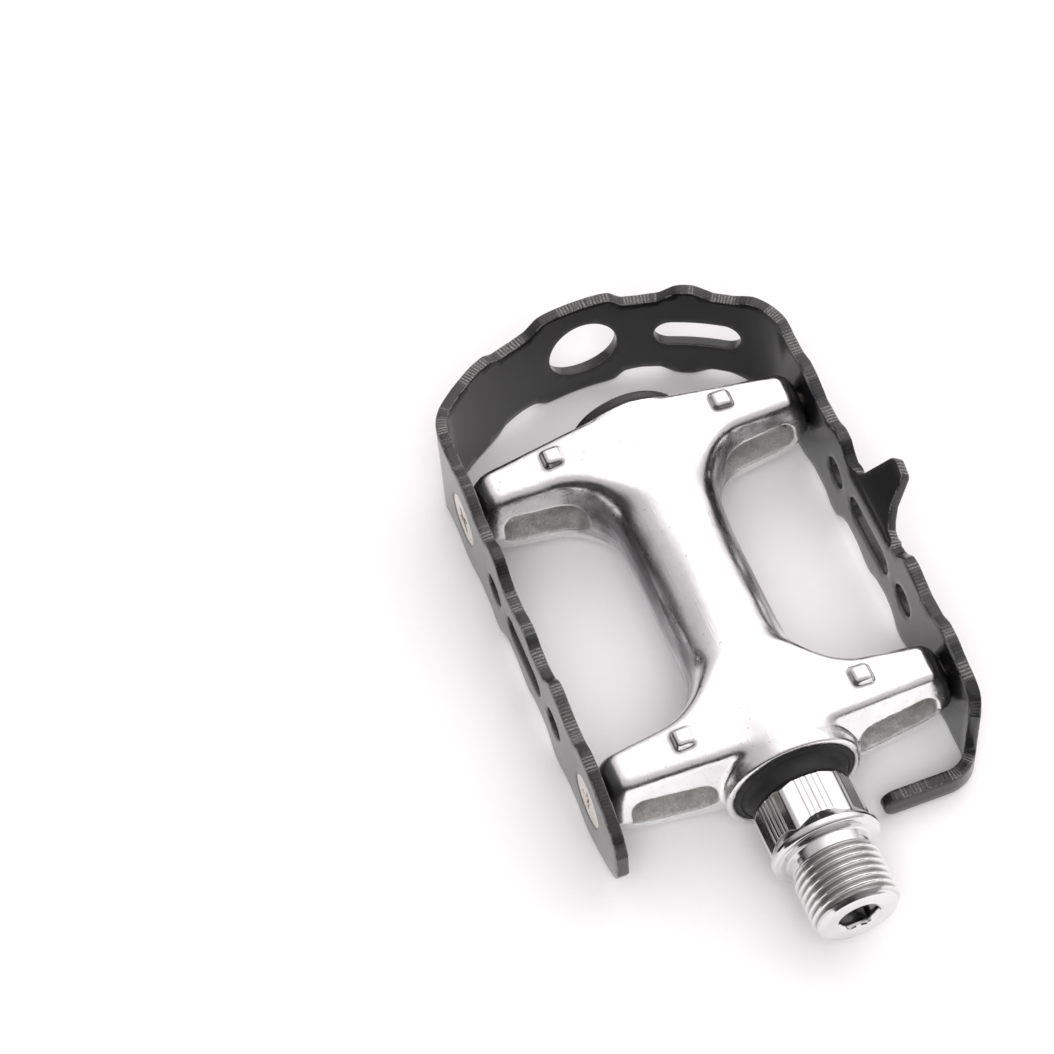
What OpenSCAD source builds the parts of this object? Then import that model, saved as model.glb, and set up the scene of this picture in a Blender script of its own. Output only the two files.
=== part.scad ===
// Cage pedal: a cast body turning on a threaded spindle, with a toothed sheet cage screwed round it.
// Millimetres. +Y runs along the spindle away from the crank, +Z is up through one pedalling face.
// The origin is on the spindle axis at the face of the flange that seats on the crank.

/* [Spindle] */
// Outside diameter of the crank thread, 9/16 inch.
thread_d = 14.2875; // [14.1:0.0125:14.4]
// Length of the stub that enters the crank, undercut included.
thread_len = 12; // [10:0.5:15]
// Length of the plain undercut next to the flange.
undercut_len = 2.1; // [2.1:0.1:3]
// Diameter of that undercut.
undercut_d = 13.2; // [12:0.1:13.6]
// Diameter of the flange that seats on the crank.
flange_d = 17.9; // [17.5:0.1:20]
// Thickness of the flange.
flange_t = 2.4; // [1.5:0.1:4]
// Distance across the spanner flats.
flats = 15; // [14.5:0.1:15.2]
// Where the spanner flats end, short of the seal.
flats_end = 9.8; // [9:0.1:10]
// Distance across the flats of the key socket in the end.
key_af = 6; // [5:0.5:8]
// Depth of the key socket.
key_depth = 6; // [4:0.5:8]

/* [Bearings] */
// Ball diameter, 1/8 inch.
ball_d = 3.175; // [3.1:0.005:3.2]
// Running gap between a ball and each race.
ball_gap = 0.03; // [0.01:0.01:0.08]
// Pitch radius of the inboard row of balls.
in_row_r = 6.7; // [6.6:0.1:6.8]
// Number of balls in the inboard row.
in_balls = 12; // [8:1:12]
// Station of the inboard row along the spindle.
in_row_y = 18.5; // [18.3:0.1:19]
// Pitch radius of the outboard row of balls.
out_row_r = 6.1; // [6:0.1:6.3]
// Number of balls in the outboard row.
out_balls = 11; // [7:1:11]
// Station of the outboard row along the spindle.
out_row_y = 76; // [75.5:0.1:76.5]

/* [Body] */
// Station of the crank-side rim of the body.
rim_y = 12.9; // [12.6:0.1:13.2]
// Outside radius of that rim.
rim_r = 11.3; // [11.1:0.1:11.8]
// Radius of the barrel at mid length.
barrel_r = 8.4; // [8:0.1:9]
// Station of the outer face of the body.
body_end = 83.4; // [83:0.1:84]
// Centre line of the inboard arm.
in_arm_y = 21.6; // [21.3:0.1:22]
// Centre line of the outboard arm.
out_arm_y = 78.1; // [77.8:0.1:78.5]
// Half length of an arm, from the spindle axis to its end.
arm_x = 29; // [28.5:0.1:29]
// Half height of an arm at its end.
arm_tip_h = 7.3; // [6.8:0.1:7.6]
// Half height of an arm where it leaves the barrel.
arm_root_h = 9.4; // [9:0.1:9.8]
// Half height of the body over the spindle.
crown_h = 10.3; // [10.1:0.1:10.8]
// Half width of an arm at mid height, at its end.
arm_w = 5.1; // [4.8:0.1:5.3]
// Draft of the side faces of an arm, in degrees.
draft = 17; // [12:1:20]
// Angle by which each arm widens towards the barrel, in degrees.
flare = 7; // [4:0.5:8]
// Half height of the recess in the crank side of each arm.
pocket_h = 3.5; // [3:0.1:3.8]
// Depth of that recess.
pocket_depth = 5.2; // [4:0.1:6]
// Nearest point of the recess to the spindle axis.
pocket_x0 = 12; // [11.5:0.1:14]
// Farthest point of the recess from the spindle axis.
pocket_x1 = 25.6; // [24:0.1:26]
// Side of each small grip stud.
stud_w = 3.5; // [3:0.1:4]
// Height of the studs above the spindle axis.
stud_top = 10.1; // [9.8:0.1:10.4]
// Distance of the studs from the spindle axis.
stud_x = 14.8; // [14:0.1:16]

/* [Cage] */
// Sheet thickness.
sheet = 2; // [1.8:0.1:2.2]
// Radius of the bowed outer end of the cage, on its outside.
end_r = 42; // [41:0.5:44]
// Outermost station of the cage.
cage_end = 105.4; // [104.8:0.1:106]
// Outside radius of the left corner.
left_corner_r = 8; // [7:0.5:10]
// Outside radius of the right corner.
right_corner_r = 12.5; // [10:0.5:14]
// Station where the straight left plate ends.
left_tip_y = 9.4; // [9:0.1:10]
// Centre of the hole row in the side plates.
holes_y = 50.3; // [49.5:0.1:51]
// Distance between the two round holes in a side plate.
hole_pitch = 26.8; // [26:0.1:27.5]
// Diameter of the round holes and width of the slot in a side plate.
side_hole_d = 5.6; // [5:0.1:6]
// Length of the slot in a side plate.
side_slot_l = 15; // [13:0.5:16]
// Diameter of the large hole in the end of the cage.
end_hole_d = 12.8; // [11:0.1:13]
// Distance of that hole to the left of the spindle axis.
end_hole_x = 0.4; // [0:0.1:2]
// Length of the slot in the end of the cage.
end_slot_l = 15.6; // [14:0.1:17]
// Width of the slot in the end of the cage.
end_slot_w = 6.2; // [5.5:0.1:7]
// Distance of that slot to the right of the spindle axis.
end_slot_x = 19.8; // [18.5:0.1:20.5]

/* [Hook and tab] */
// Outer face of the hook, towards the crank.
hook_y = 7.1; // [7:0.1:8]
// Outside radius of the bend into the hook.
hook_bend_r = 6.7; // [6:0.1:7.5]
// Nearest point of the hook to the spindle axis.
hook_tip_x = 13; // [12:0.1:15]
// Upper edge of the hook strip.
hook_top = -6.2; // [-6.5:0.1:-5]
// Lower edge of the hook strip.
hook_bottom = -10.8; // [-11:0.1:-10]
// Station where the upper part of the right plate stops.
right_stop_y = 10.4; // [10.2:0.1:11]
// Lean of the outward tab from upright, in degrees.
tab_lean = 40; // [30:1:50]
// Length of the tab, measured along its lean.
tab_len = 8.4; // [6:0.1:9]
// Height at which the tab leaves the plate.
tab_z = 6; // [5.5:0.1:6.4]

/* [Fasteners] */
// Thread diameter of the cage screws.
screw_d = 5; // [4:0.1:5]
// Length of a cage screw, head included.
screw_len = 8.6; // [7:0.1:9.5]
// Diameter of the countersunk head.
head_d = 9.2; // [8.6:0.1:9.4]
// Distance across the flats of the lock nut.
nut_af = 10; // [9:0.5:11]
// Outside diameter of the dust cap.
cap_d = 20.2; // [19.5:0.1:21]

/* [Hidden] */
thread_r = thread_d / 2;
ball_r = ball_d / 2;
race_r = ball_r + ball_gap;
in_cup_r = 9.1;
out_cup_r = 8.7;
seal_r = 10.1;
neck_r = 3.5;
in_cup_end = in_row_y + race_r + 1.1;
out_cup_start = out_row_y - race_r - 1.1;
nut_start = 81.1;
nut_end = 84.1;
cage_w = arm_x + sheet;
end_cy = cage_end - end_r;
left_cx = cage_w - left_corner_r;
left_cy = end_cy + sqrt(pow(end_r - left_corner_r, 2) - pow(left_cx, 2));
left_a = atan2(left_cy - end_cy, left_cx);
right_cx = cage_w - right_corner_r;
right_cy = end_cy + sqrt(pow(end_r - right_corner_r, 2) - pow(right_cx, 2));
right_a = atan2(right_cy - end_cy, right_cx);
neck_in_r = 7.2;
bend_cx = cage_w - hook_bend_r;
bend_cy = hook_y + hook_bend_r;
seam_y = 88.6;

// Stations [y, half height] along the toothed edges of a side plate, from its crank end outwards.
side_teeth = [[18, 9.6], [21.5, 10.9], [24.5, 11], [27, 9.7], [31, 9.5], [33.5, 10.2], [36, 11], [38, 10.7],
    [40.3, 8.1], [43, 7.3], [46.5, 7.8], [48.5, 9], [50.5, 9], [54, 7.6], [58, 7.4], [60.3, 8.7],
    [62.2, 10.8], [64.4, 11], [67, 9.6], [72, 9.4], [76, 10.9], [79, 11.1], [82, 10], [86, 10], [89, 10.9]];
// Heights at the free end of each side plate, from its tip inwards.
left_tip = [[left_tip_y, 2], [left_tip_y + 0.5, 4.6], [left_tip_y + 2, 6.6], [left_tip_y + 5, 8.2]];
right_tip = [[right_stop_y, 4], [right_stop_y + 0.6, 5.4], [right_stop_y + 1.8, 7.4], [right_stop_y + 4.5, 9]];
// Stations [x, half height] across the toothed end of the cage, from left to right.
end_teeth = [[-31.2, 10.9], [-27.5, 11.2], [-24, 11.2], [-21.5, 11.3], [-18.7, 10.9], [-17, 9.6], [-13, 9.2],
    [-10.2, 9.5], [-8, 11.2], [-6, 11.4], [3.6, 11.4], [5.4, 11.2], [7.2, 9.4], [10, 9.1], [13.6, 9.4],
    [16, 11.1], [17.2, 11.4], [19, 11.4], [20.3, 10.7], [22, 9.7], [25, 9.8], [27.6, 10.9], [31.2, 10.9]];

function arc(cx, cy, r, a0, a1, n) = [for (i = [0:n]) let (a = a0 + (a1 - a0) * i / n)
    [cx + r * cos(a), cy + r * sin(a)]];
function back(list) = [for (i = [len(list) - 1:-1:0]) list[i]];
function both(list) = concat(list, [for (p = back(list)) [p[0], -p[1]]]);

// A shape turned about the spindle axis from [radius, station] points.
module turned(points) {
    rotate([-90, 0, 0])
        rotate_extrude($fn = 72)
            polygon(points);
}

// A bar along the spindle axis between two stations.
module bar(y0, y1, r, sides = 72) {
    translate([0, y0, 0])
        rotate([-90, 0, 0])
            cylinder(r = r, h = y1 - y0, $fn = sides);
}

// A [y, z] outline carried along X.
module side_prism(points, x0, x1) {
    translate([x0, 0, 0])
        rotate([90, 0, 90])
            linear_extrude(x1 - x0)
                polygon(points);
}

// An [x, z] outline carried along Y.
module front_prism(points, y0, y1) {
    translate([0, y1, 0])
        rotate([90, 0, 0])
            linear_extrude(y1 - y0)
                polygon(points);
}

// One quarter of the wedge that trims a side face of an arm to its draft and its flare.
module arm_trim(toward_crank, up, right) {
    mirror([right ? 0 : 1, 0, 0])
        mirror([0, toward_crank ? 0 : 1, 0])
            mirror([0, 0, up ? 0 : 1])
                translate([arm_x, -arm_w, 0])
                    rotate([-draft, 0, flare])
                        translate([-40, -20, -8])
                            cube([50, 20, 40]);
}

// One cross arm: a roofed bar, drafted on all sides and wider at the barrel.
module arm(yc) {
    translate([0, yc, 0])
        difference() {
            front_prism(both([[-arm_x, 2.6], [-arm_x + 1.6, arm_tip_h], [-9, arm_root_h], [0, crown_h],
                [9, arm_root_h], [arm_x - 1.6, arm_tip_h], [arm_x, 2.6]]), -11, 11);
            for (side = [0, 1], up = [0, 1], right = [0, 1])
                arm_half_trim(side == 0, up == 0, right == 0);
        }
}

// The trimming wedge kept to its own half of the height.
module arm_half_trim(toward_crank, up, right) {
    intersection() {
        arm_trim(toward_crank, up, right);
        translate([right ? 0 : -50, -50, up ? 0 : -50])
            cube([50, 100, 50]);
    }
}

// The plan of one inside corner between an arm and the barrel, on the right.
module corner_plan(y_arm, r, sign) {
    cx = barrel_r - 1 + r;
    cy = y_arm + sign * r;
    polygon(concat([[0, y_arm - sign * 4], [cx, y_arm - sign * 4]],
        arc(cx, cy, r, sign > 0 ? -90 : 90, sign > 0 ? -180 : 180, 8), [[0, cy]]));
}

// The recess in the crank side of one arm, to one side of the barrel.
module pocket(yc, right) {
    r = 2.4;
    mirror([right ? 0 : 1, 0, 0])
        front_prism(concat(arc(pocket_x1 - r, pocket_h - r, r, 0, 90, 4),
            arc(pocket_x0 + r, pocket_h - r, r, 90, 180, 4), arc(pocket_x0 + r, r - pocket_h, r, 180, 270, 4),
            arc(pocket_x1 - r, r - pocket_h, r, 270, 360, 4)), yc - 12, yc - arm_w + pocket_depth);
}

module body() {
    color([0.86, 0.86, 0.87])
        difference() {
            union() {
                turned([[0, rim_y], [rim_r - 0.3, rim_y], [rim_r, rim_y + 0.3], [rim_r, rim_y + 1.6],
                    [10.2, 18], [9.6, 26], [barrel_r + 0.3, 32], [barrel_r, 40], [barrel_r, 58],
                    [barrel_r + 0.5, 67], [10.2, 76], [10.4, body_end], [0, body_end]]);
                arm(in_arm_y);
                arm(out_arm_y);
                for (side = [0, 1]) {
                    mirror([side, 0, 0]) {
                        translate([0, 0, -7.6])
                            linear_extrude(15.2)
                                corner_plan(in_arm_y + 4, 6, 1);
                        translate([0, 0, -7.6])
                            linear_extrude(15.2)
                                corner_plan(out_arm_y - 4, 8, -1);
                        for (yc = [in_arm_y, out_arm_y])
                            translate([stud_x - stud_w / 2, yc + 0.5 - stud_w / 2, -stud_top])
                                cube([stud_w, stud_w, 2 * stud_top]);
                    }
                }
            }
            for (yc = [in_arm_y, out_arm_y], right = [0, 1]) {
                pocket(yc, right == 1);
                mirror([right, 0, 0])
                    translate([cage_w - screw_len - 0.3, yc + 0.5, 0])
                        rotate([0, 90, 0])
                            cylinder(r = screw_d / 2, h = screw_len, $fn = 32);
            }
            bar(rim_y - 1, rim_y + 2.8, seal_r);
            bar(rim_y + 2, in_cup_end, in_cup_r);
            bar(in_cup_end - 1, out_cup_start + 1, 6.3);
            bar(out_cup_start, body_end + 1, out_cup_r);
            bar(body_end, body_end + 6, crown_h + 0.2);
        }
}

// Plan of the bent sheet: left plate, corner, bowed end, corner, right plate, bend and hook.
module cage_plan() {
    polygon(concat(sheet_line(0), back(sheet_line(sheet))));
}

// The line of the bent sheet, set in from its outside by the given depth.
function sheet_line(in) = concat([[in - cage_w, left_tip_y]],
    arc(-left_cx, left_cy, left_corner_r - in, 180, 180 - left_a, 8),
    arc(0, end_cy, end_r - in, 180 - left_a, right_a, 20),
    arc(right_cx, right_cy, right_corner_r - in, right_a, 0, 8),
    arc(bend_cx, bend_cy, hook_bend_r - in, 0, -90, 9), [[hook_tip_x, hook_y + in]]);

// A slot with round ends, cut through a plate along the local Z axis.
module slot(length, width) {
    for (end = [-1, 1])
        translate([end * (length - width) / 2, 0, 0])
            cylinder(r = width / 2, h = 12, center = true, $fn = 48);
    cube([length - width, width, 12], center = true);
}

// The outward tab: a raked fin, leaning out from the upper edge of the right plate.
module tab() {
    r = 1.2;
    root = 2.4;
    outline = concat([[58, -root], [57.2, 0.6], [56.4, 1.6]], arc(53.8, tab_len - r, r, 40, 100, 4),
        arc(51.6, tab_len - r - 0.3, r, 100, 150, 4), [[48.2, 3.2], [46, 1.4], [44.4, 0.6], [43.6, -root]]);
    translate([cage_w, 0, tab_z])
        rotate([0, tab_lean, 0])
            translate([-sheet, 0, 0])
                side_prism(outline, 0, sheet);
}

// The countersunk seat of one cage screw on the right plate.
module screw_seat(yc) {
    translate([cage_w - sheet - 1, yc, 0])
        rotate([0, 90, 0])
            cylinder(r = screw_d / 2 + 0.1, h = 4, $fn = 32);
    translate([cage_w - 2.1, yc, 0])
        rotate([0, 90, 0])
            cylinder(r1 = screw_d / 2, r2 = head_d / 2, h = 2.1, $fn = 48);
}

module cage() {
    color([0.05, 0.05, 0.055])
        difference() {
            union() {
                intersection() {
                    translate([0, 0, -20])
                        linear_extrude(40)
                            cage_plan();
                    union() {
                        side_prism(both(concat(left_tip, side_teeth)), -cage_w - 1, -20);
                        side_prism(both(concat(right_tip, side_teeth)), 20, cage_w + 1);
                        side_prism([[hook_y - 1, hook_bottom], [16, hook_bottom], [16, hook_top],
                            [hook_y - 1, hook_top]], hook_tip_x - 1, cage_w + 1);
                        front_prism(both(end_teeth), seam_y, cage_end + 1);
                    }
                }
                tab();
            }
            for (right = [0, 1]) {
                mirror([right, 0, 0]) {
                    for (yc = [in_arm_y + 0.5, out_arm_y + 0.5])
                        screw_seat(yc);
                    for (along = [-1, 1])
                        translate([cage_w, holes_y + along * hole_pitch / 2, 0])
                            rotate([0, 90, 0])
                                cylinder(r = side_hole_d / 2, h = 12, center = true, $fn = 48);
                    translate([cage_w, holes_y, 0])
                        rotate([0, 90, 0])
                            rotate([0, 0, 90])
                                slot(side_slot_l, side_hole_d);
                }
            }
            translate([-end_hole_x, cage_end - 2, 0])
                rotate([90, 0, 0])
                    cylinder(r = end_hole_d / 2, h = 16, center = true, $fn = 64);
            translate([0, end_cy, 0])
                rotate([0, 0, -asin(end_slot_x / end_r)])
                    translate([0, end_r, 0])
                        rotate([90, 0, 0])
                            slot(end_slot_l, end_slot_w);
            hook_tip_cut();
        }
}

// Rounds the free end of the hook.
module hook_tip_cut() {
    h = (hook_top - hook_bottom) / 2;
    mid = (hook_top + hook_bottom) / 2;
    difference() {
        translate([hook_tip_x - 1, hook_y - 1, hook_bottom - 1])
            cube([h + 1, sheet + 2, 2 * h + 2]);
        translate([hook_tip_x + h, hook_y - 2, mid])
            rotate([-90, 0, 0])
                cylinder(r = h, h = sheet + 4, $fn = 48);
    }
}

module spindle() {
    color([0.8, 0.81, 0.83])
        difference() {
            union() {
                turned([[0, -thread_len], [thread_r - 1.2, -thread_len], [thread_r, 1.1 - thread_len],
                    [thread_r, -undercut_len - 0.6], [undercut_d / 2, -undercut_len], [undercut_d / 2, 0],
                    [flange_d / 2 - 0.3, 0], [flange_d / 2, 0.3], [flange_d / 2, flange_t - 0.6],
                    [flange_d / 2 - 0.9, flange_t], [0, flange_t]]);
                intersection() {
                    bar(flange_t - 1, flats_end, flats / 2 / cos(30), 6);
                    turned([[0, 1], [8.45, 1], [8.45, flats_end - 0.6], [7.9, flats_end], [0, flats_end]]);
                }
                turned([[0, flats_end - 1], [neck_in_r, flats_end - 1], [neck_in_r, in_row_y - race_r],
                    [in_row_r - race_r, in_row_y - race_r], [in_row_r - race_r, 26], [4.6, 34], [4.6, 68],
                    [4.3, 72], [4.3, out_cup_start - 0.4], [neck_r, out_cup_start + 0.4], [neck_r, 84.6],
                    [neck_r - 0.6, 85.2], [0, 85.2]]);
            }
            bar(-thread_len - 1, key_depth - thread_len, key_af / 2 / cos(30), 6);
        }
}

module seal() {
    color([0.03, 0.03, 0.03])
        turned([[neck_in_r + 0.06, flats_end + 0.3], [neck_in_r + 0.6, flats_end + 0.3],
            [neck_in_r + 1, flats_end + 1.6], [8.8, rim_y], [9.6, rim_y + 0.2], [seal_r, rim_y + 0.1],
            [seal_r, rim_y + 2.8], [neck_in_r + 0.06, rim_y + 2.8]]);
}

module inboard_cup() {
    color([0.62, 0.62, 0.64])
        turned([[in_row_r + race_r, rim_y + 2.9], [in_cup_r, rim_y + 2.9], [in_cup_r, in_cup_end],
            [5.9, in_cup_end], [5.9, in_row_y + race_r], [in_row_r + race_r, in_row_y + race_r]]);
}

module outboard_cup() {
    color([0.62, 0.62, 0.64])
        turned([[4.9, out_cup_start], [out_cup_r, out_cup_start], [out_cup_r, 78.6],
            [out_row_r + race_r, 78.6], [out_row_r + race_r, out_row_y - race_r],
            [4.9, out_row_y - race_r]]);
}

module outboard_cone() {
    color([0.55, 0.55, 0.58])
        turned([[neck_r, out_cup_start + 0.6], [out_row_r - race_r, out_cup_start + 0.6],
            [out_row_r - race_r, out_row_y + race_r], [6.5, out_row_y + race_r], [6.5, 79.4], [5.6, 80],
            [neck_r, 80]]);
}

module lock_washer() {
    color([0.66, 0.66, 0.68])
        turned([[neck_r, 80], [5.6, 80], [5.6, nut_start], [neck_r, nut_start]]);
}

module lock_nut() {
    color([0.58, 0.58, 0.6])
        difference() {
            bar(nut_start, nut_end, nut_af / 2 / cos(30), 6);
            bar(nut_start - 1, nut_end + 1, neck_r);
        }
}

module dust_cap() {
    color([0.04, 0.04, 0.045])
        turned([[0, 85.7], [7.2, 85.7], [7.2, 80.6], [out_cup_r, 80.6], [out_cup_r, body_end],
            [cap_d / 2, body_end], [cap_d / 2, body_end + 1.6], [cap_d / 2 - 1, body_end + 2.5],
            [6, 86.8], [0, 86.9]]);
}

// One countersunk cross-recess screw, in place on the right for side = 1 or the left for side = -1.
module cage_screw(yc, side) {
    color([0.72, 0.68, 0.6])
        translate([side * cage_w, yc + 0.5, 0])
            rotate([0, side * 90, 0])
                difference() {
                    union() {
                        translate([0, 0, -2.1])
                            cylinder(r1 = screw_d / 2, r2 = head_d / 2, h = 2.1, $fn = 48);
                        translate([0, 0, -screw_len])
                            cylinder(r = screw_d / 2, h = screw_len - 2, $fn = 32);
                    }
                    for (turn = [0, 90])
                        rotate([0, 0, turn])
                            translate([-2.3, -0.55, -1.7])
                                cube([4.6, 1.1, 3]);
                }
}

// Ball number i of a row of n.
module ball(row_y, row_r, i, n) {
    color([0.75, 0.76, 0.78])
        rotate([0, i * 360 / n, 0])
            translate([0, row_y, row_r])
                sphere(r = ball_r, $fn = 32);
}

body();
cage();
spindle();
seal();
inboard_cup();
outboard_cup();
outboard_cone();
lock_washer();
lock_nut();
dust_cap();
cage_screw(in_arm_y, -1);  // left_inboard_screw
cage_screw(out_arm_y, -1);  // left_outboard_screw
cage_screw(in_arm_y, 1);  // right_inboard_screw
cage_screw(out_arm_y, 1);  // right_outboard_screw
for (i = [1:in_balls])
    ball(in_row_y, in_row_r, i, in_balls);
for (i = [1:out_balls])
    ball(out_row_y, out_row_r, i, out_balls);
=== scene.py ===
"""Looks of a cage pedal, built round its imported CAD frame.

Lengths are millimetres unless said otherwise.
"""

import math

import bmesh
import bpy
import numpy as np
from mathutils import Matrix, Vector
from mathutils.geometry import delaunay_2d_cdt


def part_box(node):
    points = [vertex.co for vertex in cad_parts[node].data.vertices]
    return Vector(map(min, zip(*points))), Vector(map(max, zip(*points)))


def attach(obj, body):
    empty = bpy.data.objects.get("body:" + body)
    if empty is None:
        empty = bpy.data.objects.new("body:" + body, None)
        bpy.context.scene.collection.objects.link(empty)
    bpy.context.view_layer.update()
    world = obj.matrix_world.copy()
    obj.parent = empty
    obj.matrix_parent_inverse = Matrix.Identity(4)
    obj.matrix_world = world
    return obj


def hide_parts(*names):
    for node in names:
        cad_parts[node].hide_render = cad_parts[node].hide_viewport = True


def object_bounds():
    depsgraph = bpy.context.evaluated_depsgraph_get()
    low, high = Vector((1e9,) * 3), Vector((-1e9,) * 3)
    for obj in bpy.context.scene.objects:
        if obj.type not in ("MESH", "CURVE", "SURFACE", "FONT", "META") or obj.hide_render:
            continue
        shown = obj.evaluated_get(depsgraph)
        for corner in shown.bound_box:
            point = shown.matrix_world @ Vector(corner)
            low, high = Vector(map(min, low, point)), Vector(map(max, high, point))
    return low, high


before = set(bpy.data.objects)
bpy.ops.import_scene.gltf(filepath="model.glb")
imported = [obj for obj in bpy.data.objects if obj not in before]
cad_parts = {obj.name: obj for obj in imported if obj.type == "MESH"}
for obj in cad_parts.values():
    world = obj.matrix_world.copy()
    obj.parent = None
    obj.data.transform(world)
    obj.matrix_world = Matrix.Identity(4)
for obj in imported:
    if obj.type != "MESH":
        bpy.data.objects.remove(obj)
cad_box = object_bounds()
MM = 0.001


def span(node, axis):
    """Lowest and highest place of a CAD node along an axis, in millimetres."""
    low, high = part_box(node)
    return low[axis] / MM, high[axis] / MM


ARM_X = span("body", 0)[1]
RIM_Y = span("body", 1)[0]
CAGE_W = -span("cage", 0)[0]
HOOK_Y, CAGE_END = span("cage", 1)
STUB_END, SHAFT_END = span("spindle", 1)


# ---------------------------------------------------------------- materials


class Kit:
    """A new material with its Principled shader, and short ways to add and join nodes."""

    def __init__(self, name):
        self.mat = bpy.data.materials.new(name)
        self.mat.use_nodes = True
        self.tree = self.mat.node_tree
        self.shader = self.tree.nodes["Principled BSDF"]
        self.at = self.add("ShaderNodeTexCoord").outputs["Object"]

    def add(self, kind, **inputs):
        node = self.tree.nodes.new(kind)
        for key, value in inputs.items():
            node.inputs[key.replace("_", " ")].default_value = value
        return node

    def link(self, value, target):
        """Joins a socket to an input, or sets the input to a plain number or colour."""
        if isinstance(value, (int, float, tuple)):
            target.default_value = value
        else:
            self.tree.links.new(value, target)

    def set(self, name, value):
        self.link(value, self.shader.inputs[name])

    def mark(self, name):
        """One of the per-vertex marks that piece() writes."""
        node = self.add("ShaderNodeAttribute")
        node.attribute_name = name
        return node.outputs["Fac"]

    def noise(self, scale, detail=3.0, rough=0.55, stretch=None):
        """Noise in object space; scale is in features per metre, stretch scales each axis."""
        node = self.add("ShaderNodeTexNoise", Scale=scale, Detail=detail, Roughness=rough)
        coords = self.at
        if stretch:
            mapping = self.add("ShaderNodeMapping", Scale=stretch)
            self.link(coords, mapping.inputs["Vector"])
            coords = mapping.outputs["Vector"]
        self.link(coords, node.inputs["Vector"])
        return node.outputs["Fac"]

    def ramp(self, value, low, high, out_low=0, out_high=1):
        node = self.add("ShaderNodeMapRange", From_Min=low, From_Max=high, To_Min=out_low, To_Max=out_high)
        self.link(value, node.inputs["Value"])
        return node.outputs["Result"]

    def mix_colour(self, share, a, b):
        node = self.add("ShaderNodeMix")
        node.data_type = "RGBA"
        for name, value in (("A", a), ("B", b)):
            self.link(value, [s for s in node.inputs if s.name == name and s.type == "RGBA"][0])
        self.link(share, node.inputs[0])
        return [s for s in node.outputs if s.type == "RGBA"][0]

    def mix_value(self, share, a, b):
        node = self.add("ShaderNodeMix")
        for index, value in ((0, share), (2, a), (3, b)):
            self.link(value, node.inputs[index])
        return node.outputs[0]

    def math(self, operation, a, b):
        node = self.add("ShaderNodeMath")
        node.operation = operation
        self.link(a, node.inputs[0])
        self.link(b, node.inputs[1])
        return node.outputs[0]

    def bump(self, *layers):
        """Chains bump nodes; each layer is (height socket, strength, distance in metres)."""
        last = None
        for height, strength, distance in layers:
            node = self.add("ShaderNodeBump", Strength=strength, Distance=distance)
            self.link(height, node.inputs["Height"])
            if last:
                self.link(last, node.inputs["Normal"])
            last = node.outputs["Normal"]
        self.set("Normal", last)


def grey(value, warm=0.0):
    return (value * (1 + warm), value, value * (1 - warm), 1)


def cast_material():
    """Polished casting: bright faces, a painted dark reflection down each side of the barrel, and a rough
    as-cast surface in the recesses.
    """
    kit = Kit("polished_casting")
    pocket = kit.mark("pocket")
    pits = kit.ramp(kit.noise(1500, 2, 0.5), 0.68, 0.78)
    grain = kit.noise(2600, 3, 0.7)
    buff = kit.noise(700, 4, 0.6, (1.0, 0.12, 1.0))
    # Painted reflection: the barrel's sides are darkened like a dark reflection, broken by lighter polish
    # streaks.
    streak = kit.ramp(kit.noise(620, 4, 0.65, (1.0, 0.1, 1.0)), 0.32, 0.62, 0.45, 1.0)
    painted_reflection = kit.math("MULTIPLY", kit.mark("painted_flank_reflection"), streak)

    clean = kit.mix_colour(kit.ramp(kit.noise(90, 4), 0.35, 0.7), (0.9, 0.9, 0.905, 1), (0.78, 0.77, 0.77, 1))
    clean = kit.mix_colour(kit.math("MULTIPLY", pits, 0.6), clean, (0.2, 0.19, 0.19, 1))
    # Painted dark reflection on the barrel's sides.
    clean = kit.mix_colour(painted_reflection, clean, (0.27, 0.27, 0.28, 1))
    dull = kit.mix_colour(kit.ramp(grain, 0.3, 0.7), (0.5, 0.49, 0.475, 1), (0.88, 0.875, 0.865, 1))
    blotch = kit.ramp(kit.noise(420, 4, 0.6, (1.0, 1.0, 0.3)), 0.42, 0.6, 0, 0.55)
    dull = kit.mix_colour(blotch, dull, (0.3, 0.29, 0.27, 1))
    kit.set("Base Color", kit.mix_colour(pocket, clean, dull))
    kit.set("Metallic", kit.ramp(pocket, 0, 1, 1.0, 0.45))

    polish = kit.math("ADD", kit.ramp(buff, 0.3, 0.72, 0.17, 0.31), kit.math("MULTIPLY", painted_reflection, 0.12))
    kit.set("Roughness", kit.mix_value(pocket, polish, kit.ramp(grain, 0.3, 0.7, 0.36, 0.56)))

    across = kit.ramp(kit.noise(1100, 2, 0.5, (0.05, 1.0, 1.0)), 0.63, 0.7)
    along = kit.ramp(kit.noise(1300, 2, 0.5, (1.0, 0.05, 1.0)), 0.62, 0.7)
    pitted = kit.math("MULTIPLY", grain, kit.ramp(pocket, 0, 1, 0.05, 1))
    kit.bump(
        (kit.noise(260, 2), 0.4, 0.00012),
        (buff, 0.25, 0.00005),
        (across, 0.2, 0.00003),
        (along, 0.25, 0.00003),
        (pits, -0.5, 0.00004),
        (pitted, 1.0, 0.00012),
    )
    return kit.mat


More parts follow.
